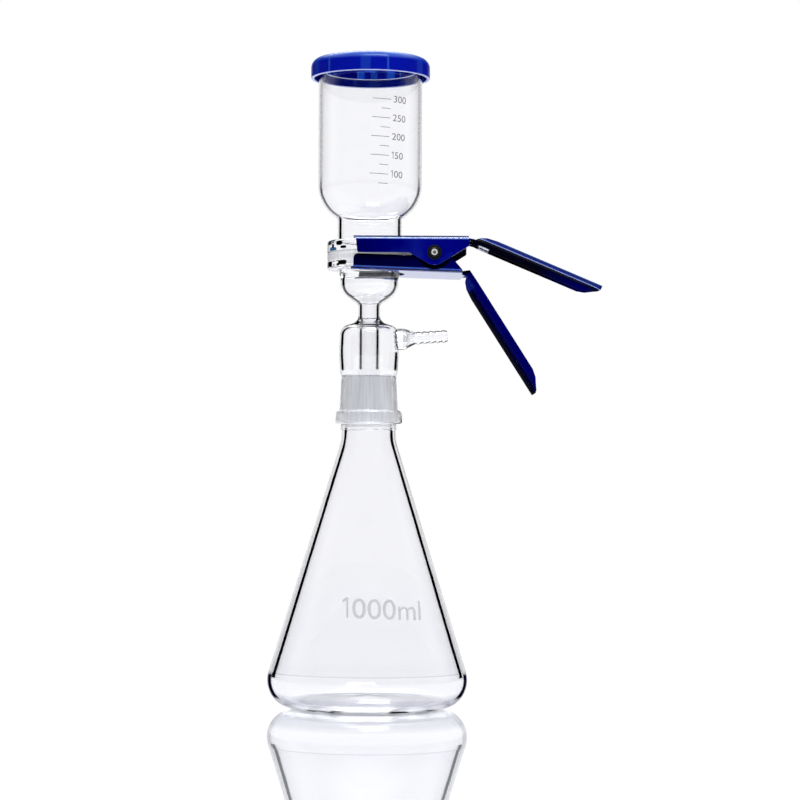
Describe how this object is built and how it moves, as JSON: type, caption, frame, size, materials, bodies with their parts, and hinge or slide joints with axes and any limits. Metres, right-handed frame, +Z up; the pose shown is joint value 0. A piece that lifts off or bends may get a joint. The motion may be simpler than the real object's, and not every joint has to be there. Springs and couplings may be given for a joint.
{
  "type": "vacuum filtration unit",
  "caption": "Glass vacuum filtration unit: graduated funnel with lid, clamped to a fritted base with drip stem and hose barb, on a conical receiving flask.",
  "frame": {"origin": "centre of the receiving flask's foot, on the surface it stands on", "axes": "+Z up the common axis of the glassware, +X towards the hose barb and the clamp's handles"},
  "size_m": [0.2188, 0.131, 0.4265],
  "materials": {
    "clear_glass": "clear borosilicate glass, ground at the joint and the flange faces",
    "sintered_glass": "white sintered glass",
    "blue_plastic": "glossy moulded blue",
    "blue_enamel": "glossy dark blue enamel on pressed sheet",
    "plated_steel": "bright plated",
    "black_plastic": "satin black",
    "spring_steel": "drawn spring wire"
  },
  "bodies": {
    "glassware": {"receiving_flask": "clear_glass", "filter_base": "clear_glass", "fritted_disc": "sintered_glass", "funnel": "clear_glass", "lid": "blue_plastic", "pivot_pin": "plated_steel", "front_washer": "black_plastic", "rear_washer": "black_plastic", "spring_bush": "plated_steel", "torsion_spring": "spring_steel"},
    "upper_lever": {"clamp_upper_lever": "blue_enamel"},
    "lower_lever": {"clamp_lower_lever": "blue_enamel"}
  },
  "joints": [
    {"name": "upper_lever_hinge", "type": "hinge", "parent": "glassware", "child": "upper_lever", "pos_m": [0.0423, 0, 0.29608], "axis": [0, 1, 0], "range_deg": [0, 14], "stiffness_Nm_per_rad": 0.8, "springref_deg": -22.92, "deforming": ["torsion_spring"]},
    {"name": "lower_lever_hinge", "type": "hinge", "parent": "glassware", "child": "lower_lever", "pos_m": [0.0423, 0, 0.29608], "axis": [0, -1, 0], "range_deg": [0, 14], "stiffness_Nm_per_rad": 0.8, "springref_deg": -22.92}
  ],
  "couplings": [
    {"joint": "lower_lever_hinge", "follows": "upper_lever_hinge", "ratio": 1}
  ]
}
